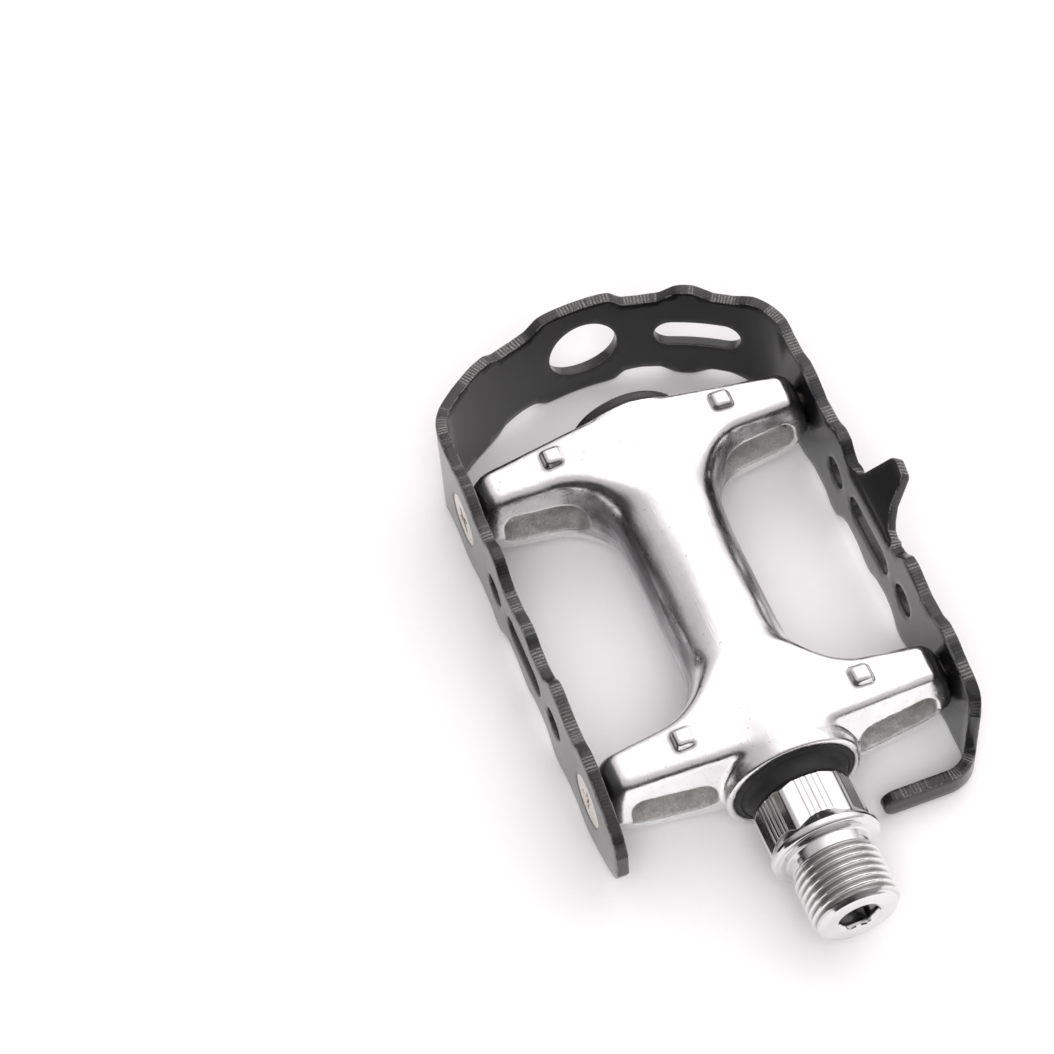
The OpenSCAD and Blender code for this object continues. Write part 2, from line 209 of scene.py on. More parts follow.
def sheet_material():
    """Semi-gloss black paint with orange peel, turned to flecked metal where the edge mark is high: partly
    paint rubbed off the cut edges, partly painted highlights along the bevels and painted light on the edges'
    flat tops.
    """
    kit = Kit("black_sheet")
    edge = kit.mark("edge")
    cloud = kit.noise(60, 3)
    fleck = kit.noise(5200, 2, 0.6)
    paint = kit.mix_colour(kit.ramp(cloud, 0.3, 0.7), (0.008, 0.0078, 0.0085, 1), (0.014, 0.0135, 0.014, 1))
    bare = kit.mix_colour(kit.ramp(fleck, 0.36, 0.66), (0.04, 0.039, 0.038, 1), (0.4, 0.39, 0.38, 1))
    # The edge mark mixes rubbed-off paint with painted highlights and painted light.
    kit.set("Base Color", kit.mix_colour(edge, paint, bare))
    smooth = kit.ramp(cloud, 0.3, 0.7, 0.16, 0.25)
    kit.set("Roughness", kit.mix_value(edge, smooth, kit.ramp(fleck, 0.3, 0.7, 0.5, 0.32)))
    kit.set("Coat Weight", 0.12)
    kit.set("Coat Roughness", 0.22)
    kit.set("Specular IOR Level", 0.42)
    kit.bump((kit.noise(1500, 3), 0.16, 0.00004), (fleck, 0.12, 0.00003))
    return kit.mat


def metal_material(name, tone, gloss, scale=500, stretch=None, ripple=0.1, warm=0.0, groove=False):
    """Bare or plated steel with slight variation in tone and gloss (each low, high) and fine tool marks.

    With groove set, the groove mark darkens the thread roots.
    """
    kit = Kit(name)
    cloud = kit.noise(140, 4)
    marks = kit.noise(scale, 4, 0.6, stretch)
    colour = kit.mix_colour(kit.ramp(cloud, 0.3, 0.7), grey(tone[0], warm), grey(tone[1], warm))
    rough = kit.ramp(marks, 0.3, 0.7, *gloss)
    if groove:
        root = kit.mark("groove")
        colour = kit.mix_colour(root, colour, (tone[0] * 0.6, tone[0] * 0.59, tone[0] * 0.58, 1))
        rough = kit.math("ADD", rough, kit.ramp(root, 0, 1, 0, 0.25))
    kit.set("Base Color", colour)
    kit.set("Metallic", 1.0)
    kit.set("Roughness", rough)
    kit.bump((cloud, 0.08, 0.00008), (marks, ripple, 0.00003))
    return kit.mat


def soft_material(name, tone, gloss, scale, specular):
    """Rubber or moulded plastic: a fine grain and a little dust in the tone."""
    kit = Kit(name)
    grain = kit.noise(scale, 3, 0.65)
    dust = kit.ramp(kit.noise(220, 4), 0.3, 0.75)
    kit.set("Base Color", kit.mix_colour(dust, grey(tone[0]), grey(tone[1])))
    kit.set("Roughness", kit.ramp(grain, 0.3, 0.7, *gloss))
    kit.set("Specular IOR Level", specular)
    kit.bump((grain, 0.25, 0.00004))
    return kit.mat


CAST = cast_material()
SHEET = sheet_material()
CHROME = metal_material("bright_chrome", (0.68, 0.8), (0.09, 0.18), 600, (1.0, 0.2, 1.0), 0.08, groove=True)
RACE = metal_material("ground_race", (0.5, 0.6), (0.16, 0.3), 900, (1, 0.1, 1))
PLATED = metal_material("zinc_plate", (0.52, 0.66), (0.2, 0.36), 900)
BALL = metal_material("ball_steel", (0.7, 0.8), (0.04, 0.09), 1200, None, 0.02)
SCREW = metal_material("nickel_screw", (0.58, 0.72), (0.16, 0.34), 1500, (1, 1, 0.2), 0.15, 0.09)
RUBBER = soft_material("seal_rubber", (0.012, 0.024), (0.5, 0.68), 3000, 0.35)
PLASTIC = soft_material("cap_plastic", (0.016, 0.03), (0.3, 0.44), 2400, 0.5)


# ---------------------------------------------------------------- mesh tools


def piece(name, verts, faces, material, body, nodes=(), sharp=None, marks=None):
    """A finished piece: mesh, material, ride and the CAD nodes that it stands for."""
    mesh = bpy.data.meshes.new(name)
    faces = faces if isinstance(faces, list) else faces.tolist()
    mesh.from_pydata((np.asarray(verts, float) * MM).tolist(), [], faces)
    mesh.validate()
    mesh.shade_smooth()
    if sharp:
        mesh.set_sharp_from_angle(angle=math.radians(sharp))
    for key, values in (marks or {}).items():
        layer = mesh.attributes.new(key, "FLOAT", "POINT")
        layer.data.foreach_set("value", np.asarray(values, np.float32))
    mesh.materials.append(material)
    obj = bpy.data.objects.new(name, mesh)
    bpy.context.scene.collection.objects.link(obj)
    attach(obj, body)
    if nodes:
        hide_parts(*nodes)
    return obj


def turned(rows, count):
    """A closed surface turned about Y from (radius, station) rows, each of which may vary with the angle.

    A row with zero radius closes an end.
    """
    angle = np.arange(count) * 2 * math.pi / count
    cos, sin = np.cos(angle), np.sin(angle)
    verts, rings, total = [], [], 0
    for r, y in rows:
        if np.isscalar(r) and r == 0:
            verts.append(np.array([[0.0, float(np.mean(y)), 0.0]]))
            rings.append((total, 1))
            total += 1
            continue
        r = np.broadcast_to(r, count)
        y = np.broadcast_to(y, count)
        verts.append(np.stack([r * cos, y, r * sin], 1))
        rings.append((total, count))
        total += count
    faces = []
    k = np.arange(count)
    k2 = (k + 1) % count
    for (a, na), (b, nb) in zip(rings, rings[1:]):
        if na == 1:
            faces += np.stack([np.full(count, a), b + k, b + k2], 1).tolist()
        elif nb == 1:
            faces += np.stack([a + k, np.full(count, b), a + k2], 1).tolist()
        else:
            faces += np.stack([a + k, b + k, b + k2, a + k2], 1).tolist()
    return np.concatenate(verts), faces


def rounded(points, radius, steps=4):
    """A [radius, station] profile with each inner corner rounded off."""
    out = [points[0]]
    for before, at, after in zip(points, points[1:], points[2:]):
        b, p, a = (np.array(v, float) for v in (before, at, after))
        r = min(radius, np.linalg.norm(b - p) * 0.45, np.linalg.norm(a - p) * 0.45)
        s = p + (b - p) / np.linalg.norm(b - p) * r
        e = p + (a - p) / np.linalg.norm(a - p) * r
        for t in np.linspace(0, 1, steps):
            out.append(tuple((1 - t) ** 2 * s + 2 * t * (1 - t) * p + t * t * e))
    out.append(points[-1])
    return out


def lathe_piece(name, points, count, radius, material, body, nodes):
    verts, faces = turned(rounded(points, radius), count)
    return piece(name, verts, faces, material, body, nodes, sharp=40)


def smin(a, b, k):
    """The lesser of two fields, blended where they differ by less than k."""
    h = np.maximum(k - np.abs(a - b), 0) / k
    return np.minimum(a, b) - h * h * k / 4


def smax(a, b, k):
    """The greater of two fields, blended where they differ by less than k."""
    return -smin(-a, -b, k)


# ---------------------------------------------------------------- cast body

# Stations of the two arms' middles, and how far past each of them its studs and screws sit.
IN_ARM, OUT_ARM, SCREW_PAST = 21.6, 78.1, 0.5
# Where the slanted outer wall of an arm's recess meets the crank side.
POCKET_WALL = {IN_ARM: 15.2, OUT_ARM: 14.0}
BODY_END, STUD_X = 83.4, 14.8
# (station, radius) along the barrel.
BARREL = np.array([[12, 11.3], [14.6, 11.3], [16.5, 10.9], [18, 10.4], [22, 9.9], [26, 9.5], [32, 8.7],
    [40, 8.35], [58, 8.35], [67, 8.95], [72, 9.5], [76, 10.1], [84, 10.4]])
# (radius, from, to): seal, inboard cup, shaft, outboard cup and cap.
BORES = ((10.12, 0, 15.7), (9.12, 15, 21.24), (6.3, 20, 74), (8.72, 73.28, 90), (10.5, BODY_END, 99))


def rounded_box(a, b, radius):
    """Distance to a rounded rectangle, from the distances past its two sides."""
    return np.hypot(np.maximum(a, 0), np.maximum(b, 0)) + np.minimum(np.maximum(a, b), 0) - radius


def ease(t):
    t = np.clip(t, 0, 1)
    return t * t * (3 - 2 * t)


def pocket_field(x, y, z, arm):
    """Below zero inside the recess in the crank side of an arm."""
    a = np.abs(x - 18.8) - 4.4
    b = z - 1.1
    deep = smax(rounded_box(a, b, 2.4), (y - arm - 0.1) * 0.97 + z * 0.1, 1.0)
    cut = smax(deep, (POCKET_WALL[arm] - x) * 0.72 + (y - arm - 0.1) * 0.69, 0.6)
    return np.maximum(cut, arm - 10.5 - y)


def roof_height(x, y):
    """Height of the broad top face: highest over each arm, lower along the middle of the barrel."""
    arms = smin(10.3 - 0.1 * (np.sqrt(x * x + 16) - 4), 9.4 - 0.1141 * (x - 9), 1.0)
    away = np.minimum(np.abs(y - IN_ARM - 2.5), np.abs(y - OUT_ARM + 1.5)) - 4.5
    low = np.interp(y, BARREL[:, 0], BARREL[:, 1]) - 0.02 * x
    return arms + (low - arms) * ease(away / 11)


def plan_field(x, y, z):
    """Distance to the outline seen from above: an arm each side of the barrel with rounded inner corners."""
    out = []
    for arm, inner, radius in ((IN_ARM, 1, 8.5), (OUT_ARM, -1, 8.0)):
        side = (x - ARM_X) * 0.1165 + (np.abs(y - arm) - 5.1) * 0.949 + np.sqrt(z * z + 0.04) * 0.292
        out.append((side, inner, radius))
    wide = np.interp(y, BARREL[:, 0], np.minimum(BARREL[:, 1], 9.2))
    barrel = np.maximum((x - wide) * 0.985 + 0.12 * z, np.maximum(IN_ARM - 3 - y, y - OUT_ARM - 3))
    best = barrel
    for (side, inner, radius), arm in zip(out, (IN_ARM, OUT_ARM)):
        between = (y - arm) * inner > 0
        r = np.where(between, radius, 0.8)
        u, v = np.maximum(r - barrel, 0), np.maximum(r - side, 0)
        joined = np.maximum(r, np.minimum(barrel, side)) - np.hypot(u, v)
        near = np.abs(y - arm) < 24
        best = np.where(near, np.minimum(best, joined), best)
    return best


def body_field(x, y, z):
    """Roughly the distance to the casting's surface, below zero inside; the same in all four quarters."""
    x, z = np.abs(x), np.abs(z)
    rho = np.hypot(x, z)
    round_bar = (rho - np.interp(y, BARREL[:, 0], BARREL[:, 1])) * 0.985
    near_in, near_out = y - IN_ARM - 5, OUT_ARM - 5 - y
    soft = 1.8 + 4.2 * ease(np.minimum((near_in - 1) / 11, (near_out - 0.5) / 9)) * ease((16 - x) / 5)
    slab = smax(plan_field(x, y, z), (z - roof_height(x, y)) * 0.99, soft)
    ends = smax((x - ARM_X) * 0.9466 + (z - 2.6) * 0.3223, x - ARM_X, 1.0)
    slab = smax(slab, ends, 2.4)
    core = smax(smax(round_bar, RIM_Y - y, 0.5), y - BODY_END, 0.6)
    slab = smax(slab, np.maximum(RIM_Y + 0.2 - y, y - BODY_END - 2.4 * ease((x - 9.5) / 4)), 0.6)
    share = ease(np.minimum((near_in - 5) / 15, (near_out - 5) / 13))
    blend = np.interp(y, [14, 18, 24, 70, 77, 82], [0.8, 1.4, 1.6, 1.6, 1.4, 0.8])
    d = smin(slab * (1 - share) + np.minimum(round_bar, slab + 4) * share, core, blend)
    for arm in (IN_ARM, OUT_ARM):
        u, v = x - STUD_X, y - arm - SCREW_PAST
        stud = rounded_box(np.abs(u) - 0.95, np.abs(v) - 0.95, 0.68)
        d = smin(d, smax(stud, z - 10.12 + 0.06 * (u**2 + v**2), 1.0), 0.9)
        d = smax(d, -pocket_field(x, y, z, arm), 0.45)
        screw = np.maximum(np.hypot(v, z) - 2.55, 22.0 - x)
        d = smax(d, -screw, 0.15)
    for radius, low, high in BORES:
        bore = np.maximum(rho - radius, np.maximum(low - y, y - high))
        d = smax(d, -bore, 0.2)
    return d


def ripple(x, y, z):
    """The slight unevenness that hand polishing leaves on a casting."""
    swell = np.sin(0.9 * x + 0.35 * y + 0.4) * np.sin(0.62 * y - 0.5 * z)
    return 0.014 * (swell + 0.6 * np.sin(1.7 * z + 0.8 * x - 0.3 * y))


def mirrored(axis_values):
    """A grid line list that is its own mirror image about zero."""
    return np.concatenate([-axis_values[::-1], axis_values])


def surface_of(field, xs, ys, zs, values):
    """Points and quads of a field's zero surface: sampled on a grid, then each point moved onto it."""
    inside = values < 0
    index = np.zeros([n - 1 for n in values.shape], np.int32)
    total = np.zeros(index.shape)
    centre = [np.zeros(index.shape) for _ in range(3)]
    grids = (xs, ys, zs)
    step = [g[1] - g[0] for g in grids]
    for axis in range(3):
        others = [a for a in range(3) if a != axis]
        for i in (0, 1):
            for j in (0, 1):
                lo, hi = [None] * 3, [None] * 3
                lo[axis], hi[axis] = slice(0, -1), slice(1, None)
                for other, offset in zip(others, (i, j)):
                    lo[other] = hi[other] = slice(offset, values.shape[other] - 1 + offset)
                a, b = values[tuple(lo)], values[tuple(hi)]
                cross = (a < 0) != (b < 0)
                t = np.where(cross, a / np.where(cross, a - b, 1), 0)
                total += cross
                centre[axis] += np.where(cross, t, 0)
                for other, offset in zip(others, (i, j)):
                    centre[other] += cross * offset
    cells = np.argwhere(total > 0)
    index[tuple(cells.T)] = np.arange(len(cells))
    points = np.empty((len(cells), 3))
    for axis in range(3):
        share = centre[axis][tuple(cells.T)] / total[tuple(cells.T)]
        points[:, axis] = grids[axis][cells[:, axis]] + share * step[axis]
    quads = []
    for axis in range(3):
        u, v = [(1, 2), (2, 0), (0, 1)][axis]
        core = [slice(1, -1)] * 3
        core[axis] = slice(0, -1)
        ahead = [slice(1, -1)] * 3
        ahead[axis] = slice(1, None)
        a, b = inside[tuple(core)], inside[tuple(ahead)]
        for starts, flip in ((a & ~b, False), (~a & b, True)):
            at = np.argwhere(starts)
            at += [1 if k != axis else 0 for k in range(3)]
            ring = []
            for du, dv in ((1, 1), (0, 1), (0, 0), (1, 0)):
                q = at.copy()
                q[:, u] -= du
                q[:, v] -= dv
                ring.append(index[tuple(q.T)])
            ring = np.stack(ring, 1)
            quads.append(ring[:, ::-1] if flip else ring)
    h = 0.02
    for _ in range(3):
        base = field(*points.T)
        ahead = [field(*(points + h * axis).T) for axis in np.eye(3)]
        behind = [field(*(points - h * axis).T) for axis in np.eye(3)]
        slope = np.stack([a - b for a, b in zip(ahead, behind)], 1) / (2 * h)
        size = np.maximum((slope**2).sum(1), 0.2)
        points -= slope * np.clip(base / size, -0.15, 0.15)[:, None]
    return points, np.concatenate(quads)


def make_body():
    grid = 0.3
    xs = mirrored(np.arange(grid / 2, 30, grid))
    zs = mirrored(np.arange(grid / 2, 12.4, grid))
    ys = np.arange(12, 88, grid)
    half_x, half_z = xs[xs > 0], zs[zs > 0]
    quarter = body_field(half_x[:, None, None], ys[None, :, None], half_z[None, None, :])
    values = np.concatenate([quarter[::-1], quarter], 0)
    values = np.concatenate([values[:, :, ::-1], values], 2)
    values = values + ripple(xs[:, None, None], ys[None, :, None], zs[None, None, :])

    def rippled(x, y, z):
        return body_field(x, y, z) + ripple(x, y, z)

    points, quads = surface_of(rippled, xs, ys, zs, values)
    x, y, z = np.abs(points[:, 0]), points[:, 1], np.abs(points[:, 2])
    deep = np.minimum(pocket_field(x, y, z, IN_ARM), pocket_field(x, y, z, OUT_ARM))
    pocket = np.clip((0.22 - deep) / 0.25, 0, 1)
    # Mask of the painted dark reflection: the barrel's sides between the arms, below the top face.
    painted_flank_reflection = ease((6.8 - z) / 3) * ease((y - 27) / 4) * ease((75 - y) / 5) * ease((19 - x) / 6)
    marks = {"pocket": pocket, "painted_flank_reflection": painted_flank_reflection}
    piece("cast_body", points, quads, CAST, "pedal", ["body"], marks=marks)


make_body()


# ---------------------------------------------------------------- sheet cage

SHEET_T = 2.0
END_R, LEFT_R, RIGHT_R, BEND_R = 42.0, 8.0, 12.5, 6.7
LEFT_TIP_Y, RIGHT_STOP_Y, HOOK_TIP_X, SEAM_Y = 9.4, 10.4, 13.0, 88.6
# (station, half height) of the teeth along both side plates, then the free ends of the left and right plate.
SIDE_TEETH = np.array([[18, 9.6], [21.5, 10.9], [24.5, 11], [27, 9.7], [31, 9.5], [33.5, 10.2], [36, 11],
    [38, 10.7], [40.3, 8.1], [43, 7.3], [46.5, 7.8], [48.5, 9], [50.5, 9], [54, 7.6], [58, 7.4], [60.3, 8.7],
    [62.2, 10.8], [64.4, 11], [67, 9.6], [72, 9.4], [76, 10.9], [79, 11.1], [82, 10], [86, 10], [89, 10.9]])
LEFT_TIP = np.array([[9.4, 2], [9.9, 4.6], [11.4, 6.6], [14.4, 8.2]])
RIGHT_TIP = np.array([[10.4, 4], [11, 5.4], [12.2, 7.4], [14.9, 9]])
RIGHT_TIP_LOW = np.array([[0, 10.8], [16.4, 10.8], [18.6, 10.35]])
# (X, half height) of the teeth along the bowed end.
END_TEETH = np.array([[-31.2, 10.9], [-27.5, 11.2], [-24, 11.2], [-21.5, 11.3], [-18.7, 10.9], [-17, 9.6],
    [-13, 9.2], [-10.2, 9.5], [-8, 11.2], [-6, 11.4], [3.6, 11.4], [5.4, 11.2], [7.2, 9.4], [10, 9.1],
    [13.6, 9.4], [16, 11.1], [17.2, 11.4], [19, 11.4], [20.3, 10.7], [22, 9.7], [25, 9.8], [27.6, 10.9],
    [31.2, 10.9]])
HOOK_TOP, HOOK_LOW, HOOK_FILLET = -6.2, -10.8, 1.5
# Each side plate has a slot at its middle, a bolt hole either side of it, and a hole for each screw.
PLATE_MID, BOLT_REACH, BOLT_R, SCREW_R, SINK = 50.3, 13.4, 2.8, 2.6, 2.08
LOOP_STEP, TOP_STEP, TOP_SMOOTH = 0.125, 0.08, 0.38


def sheet_path():
    """The outside line of the bent sheet: distance along it, place and outward direction."""
    end_cy = CAGE_END - END_R
    parts = []
    lx = CAGE_W - LEFT_R
    ly = end_cy + math.sqrt((END_R - LEFT_R) ** 2 - lx**2)
    la = math.atan2(ly - end_cy, lx)
    rx = CAGE_W - RIGHT_R
    ry = end_cy + math.sqrt((END_R - RIGHT_R) ** 2 - rx**2)
    ra = math.atan2(ry - end_cy, rx)
    by = HOOK_Y + BEND_R
    bx = CAGE_W - BEND_R

    def line(p, q, normal):
        n = max(2, int(math.dist(p, q) / 0.1))
        t = np.linspace(0, 1, n)[:, None]
        parts.append(np.hstack([np.array(p) * (1 - t) + np.array(q) * t, np.tile(normal, (n, 1))]))

    def arc(cx, cy, r, a0, a1):
        n = max(8, int(abs(a1 - a0) * r / 0.1))
        a = np.linspace(a0, a1, n)
        parts.append(np.stack([cx + r * np.cos(a), cy + r * np.sin(a), np.cos(a), np.sin(a)], 1))

    line((-CAGE_W, LEFT_TIP_Y), (-CAGE_W, ly), (-1, 0))
    arc(-lx, ly, LEFT_R, math.pi, math.pi - la)
    arc(0, end_cy, END_R, math.pi - la, ra)
    arc(rx, ry, RIGHT_R, ra, 0)
    line((CAGE_W, ry), (CAGE_W, by), (1, 0))
    arc(bx, by, BEND_R, 0, -math.pi / 2)
    line((bx, HOOK_Y), (HOOK_TIP_X, HOOK_Y), (0, -1))
    path = np.vstack(parts)
    steps = np.hypot(*np.diff(path[:, :2], axis=0).T)
    keep = np.concatenate([[True], steps > 1e-6])
    path = path[keep]
    s = np.concatenate([[0], np.cumsum(np.hypot(*np.diff(path[:, :2], axis=0).T))])
    return s, path


PATH_S, PATH = sheet_path()


def at_path(s):
    x, y, nx, ny = (np.interp(s, PATH_S, PATH[:, k]) for k in range(4))
    size = np.hypot(nx, ny)
    return x, y, nx / size, ny / size


def s_at_y(y, right):
    """Distance along the sheet at which a side plate or the bend passes a station."""
    half = len(PATH_S) // 2
    if right:
        return float(np.interp(-y, -PATH[half:, 1], PATH_S[half:]))
    return float(np.interp(y, PATH[:half, 1], PATH_S[:half]))


TAB_LEAN, TAB_Z, TAB_BEND = math.radians(40), 5.56, 1.2
TAB_FAR, TAB_NEAR = 57.2, 44.4


def tab_outline():
    """Stations and developed heights of the outward tab, from its outboard side to its crank side."""
    out = [(58.4, 7.4), (57.5, 7.45), (57.0, 7.8), (56.6, 8.6)]
    for y, z, start, stop, count in ((53.8, 13.76, 20, 100, 7), (51.7, 13.46, 100, 152, 5)):
        turn = np.radians(np.linspace(start, stop, count))
        out += [(y + 1.3 * math.cos(a), z + 1.3 * math.sin(a)) for a in turn]
    return out + [(48.4, 10.0), (46.8, 8.4), (45.6, 7.6), (44.2, 7.35), (43.2, 7.3)]


def smooth_line(values, step, sigma):
    reach = int(3 * sigma / step) + 1
    k = np.exp(-0.5 * (np.arange(-reach, reach + 1) * step / sigma) ** 2)
    padded = np.concatenate([np.full(reach, values[0]), values, np.full(reach, values[-1])])
    return np.convolve(padded, k / k.sum(), "valid")


def resample(points, step):
    points = np.array(points, float)
    if np.linalg.norm(points[0] - points[-1]) > 1e-9:
        points = np.vstack([points, points[:1]])
    size = np.hypot(*np.diff(points, axis=0).T)
    points = points[np.concatenate([[True], size > 1e-7])]
    size = np.hypot(*np.diff(points, axis=0).T)
    s = np.concatenate([[0], np.cumsum(size)])
    n = int(round(s[-1] / step))
    t = np.arange(n) * s[-1] / n
    return np.stack([np.interp(t, s, points[:, 0]), np.interp(t, s, points[:, 1])], 1)


def edge_heights(s, upper):
    """Half height of the sheet at each distance along it."""
    x, y, _, _ = at_path(s)
    left = np.vstack([LEFT_TIP, SIDE_TEETH])
    right = np.vstack([RIGHT_TIP, SIDE_TEETH]) if upper else np.vstack([RIGHT_TIP_LOW, SIDE_TEETH[1:]])
    side = np.where(x > 0, np.interp(y, *right.T), np.interp(y, *left.T))
    return np.where(y > SEAM_Y, np.interp(x, *END_TEETH.T), side)


def cage_outline():
    """The developed outline, distance along the sheet against height, with the tab and the hook strip."""
    total = PATH_S[-1]
    stop = s_at_y(RIGHT_STOP_Y, True)
    s = np.arange(0, stop, TOP_STEP)
    top = smooth_line(edge_heights(s, True), TOP_STEP, TOP_SMOOTH)
    tab = [(s_at_y(y, True), h) for y, h in tab_outline()]
    for end in (0, -1):
        tab[end] = (tab[end][0], float(np.interp(tab[end][0], s, top)))
    before, after = s < tab[0][0], s > tab[-1][0]
    upper = [*zip(s[before], top[before]), *tab, *zip(s[after], top[after])]
    f, r, mid = HOOK_FILLET, (HOOK_TOP - HOOK_LOW) / 2, (HOOK_TOP + HOOK_LOW) / 2
    quarter, half = np.radians(np.linspace(0, 90, 8)), np.radians(np.linspace(0, 180, 24))
    fillet = [(stop + f - f * math.cos(a), HOOK_TOP + f - f * math.sin(a)) for a in quarter]
    tip = [(total - r + r * math.sin(a), mid + r * math.cos(a)) for a in half]
    s_low = np.arange(total - r - 0.3, 0, -TOP_STEP)
    low = -smooth_line(edge_heights(s_low, False), TOP_STEP, TOP_SMOOTH)
    stub = [(0.0, -1.0), (0.0, 1.0)]
    return resample([*upper, (stop, 3.0), *fillet, *tip, *zip(s_low, low), *stub], LOOP_STEP)


def loop_normals(loop):
    ahead, behind = np.roll(loop, -1, 0), np.roll(loop, 1, 0)
    d = ahead - behind
    n = np.stack([d[:, 1], -d[:, 0]], 1)
    area = np.sum(loop[:, 0] * ahead[:, 1] - ahead[:, 0] * loop[:, 1])
    return n / np.maximum(np.hypot(*n.T), 1e-9)[:, None] * (1 if area > 0 else -1)


def circle(cs, cz, r, n):
    a = np.arange(n) * 2 * math.pi / n
    return np.stack([cs + r * np.cos(a), cz + r * np.sin(a)], 1)


def slot_loop(cs, cz, length, width):
    r, h = width / 2, (length - width) / 2
    turn = np.linspace(-math.pi / 2, math.pi / 2, 24)
    ends = [(cs + h + r * math.cos(a), cz + r * math.sin(a)) for a in turn]
    ends += [(cs - h - r * math.cos(a), cz - r * math.sin(a)) for a in turn]
    return resample(ends, 0.3)


def bend_sheet(s, z, depth):
    """Places developed points along the bent sheet, at a depth under its outside; the tab leans out."""
    x, y, nx, ny = at_path(s)
    far = np.clip((TAB_FAR + 2.2 - y) / 2.0, 0, 1)
    near = np.clip((y - TAB_NEAR + 2.2) / 2.0, 0, 1)
    share = np.where(x > CAGE_W - 0.5, far * near, 0)
    share = share * share * (3 - 2 * share)
    lean = TAB_LEAN * share
    up = np.maximum(z - TAB_Z, 0)
    length = np.maximum((TAB_BEND + 1) * lean, 1e-9)
    phi = np.minimum(up / (TAB_BEND + 1), lean)
    straight = np.maximum(up - length, 0)
    leaning = (up > 0) & (lean > 1e-6)
    out = np.where(leaning, TAB_BEND - (TAB_BEND + depth) * np.cos(phi) + straight * np.sin(lean), -depth)
    height = np.where(leaning, TAB_Z + (TAB_BEND + depth) * np.sin(phi) + straight * np.cos(lean), z)
    return np.stack([x + nx * out, y + ny * out, height], 1)


def cage_holes():
    """The outline of each hole, with how much wider its countersink is at the outside, or None."""
    holes = []
    for right in (False, True):
        for y in (PLATE_MID - BOLT_REACH, PLATE_MID + BOLT_REACH):
            holes.append((circle(s_at_y(y, right), 0, BOLT_R, 60), None))
        holes.append((slot_loop(s_at_y(PLATE_MID, right), 0, 15, 5.6), None))
        for y in (IN_ARM + SCREW_PAST, OUT_ARM + SCREW_PAST):
            holes.append((circle(s_at_y(y, right), 0, SCREW_R, 72), SINK))
    bow = slice(len(PATH) // 4, 3 * len(PATH) // 4)
    middle = float(np.interp(0, PATH[bow, 0], PATH_S[bow]))
    holes.append((circle(middle - 0.4, 0, 6.4, 120), None))
    holes.append((slot_loop(middle + END_R * math.asin(19.8 / END_R), 0, 15.6, 6.2), None))
    return holes


def inside_loops(points, loops):
    """Whether each point lies inside an odd number of the loops, counted by crossings to one side."""
    inside = np.zeros(len(points), bool)
    for p in loops:
        q = np.roll(p, -1, 0)
        for first in range(0, len(points), 2000):
            g = points[first : first + 2000]
            straddles = (p[None, :, 1] > g[:, 1:2]) != (q[None, :, 1] > g[:, 1:2])
            rise = g[:, 1:2] - p[None, :, 1]
            with np.errstate(divide="ignore", invalid="ignore"):
                crossing = p[None, :, 0] + rise * (q - p)[None, :, 0] / (q - p)[None, :, 1]
            inside[first : first + 2000] ^= ((straddles & (g[:, 0:1] < crossing)).sum(1) % 2).astype(bool)
    return inside


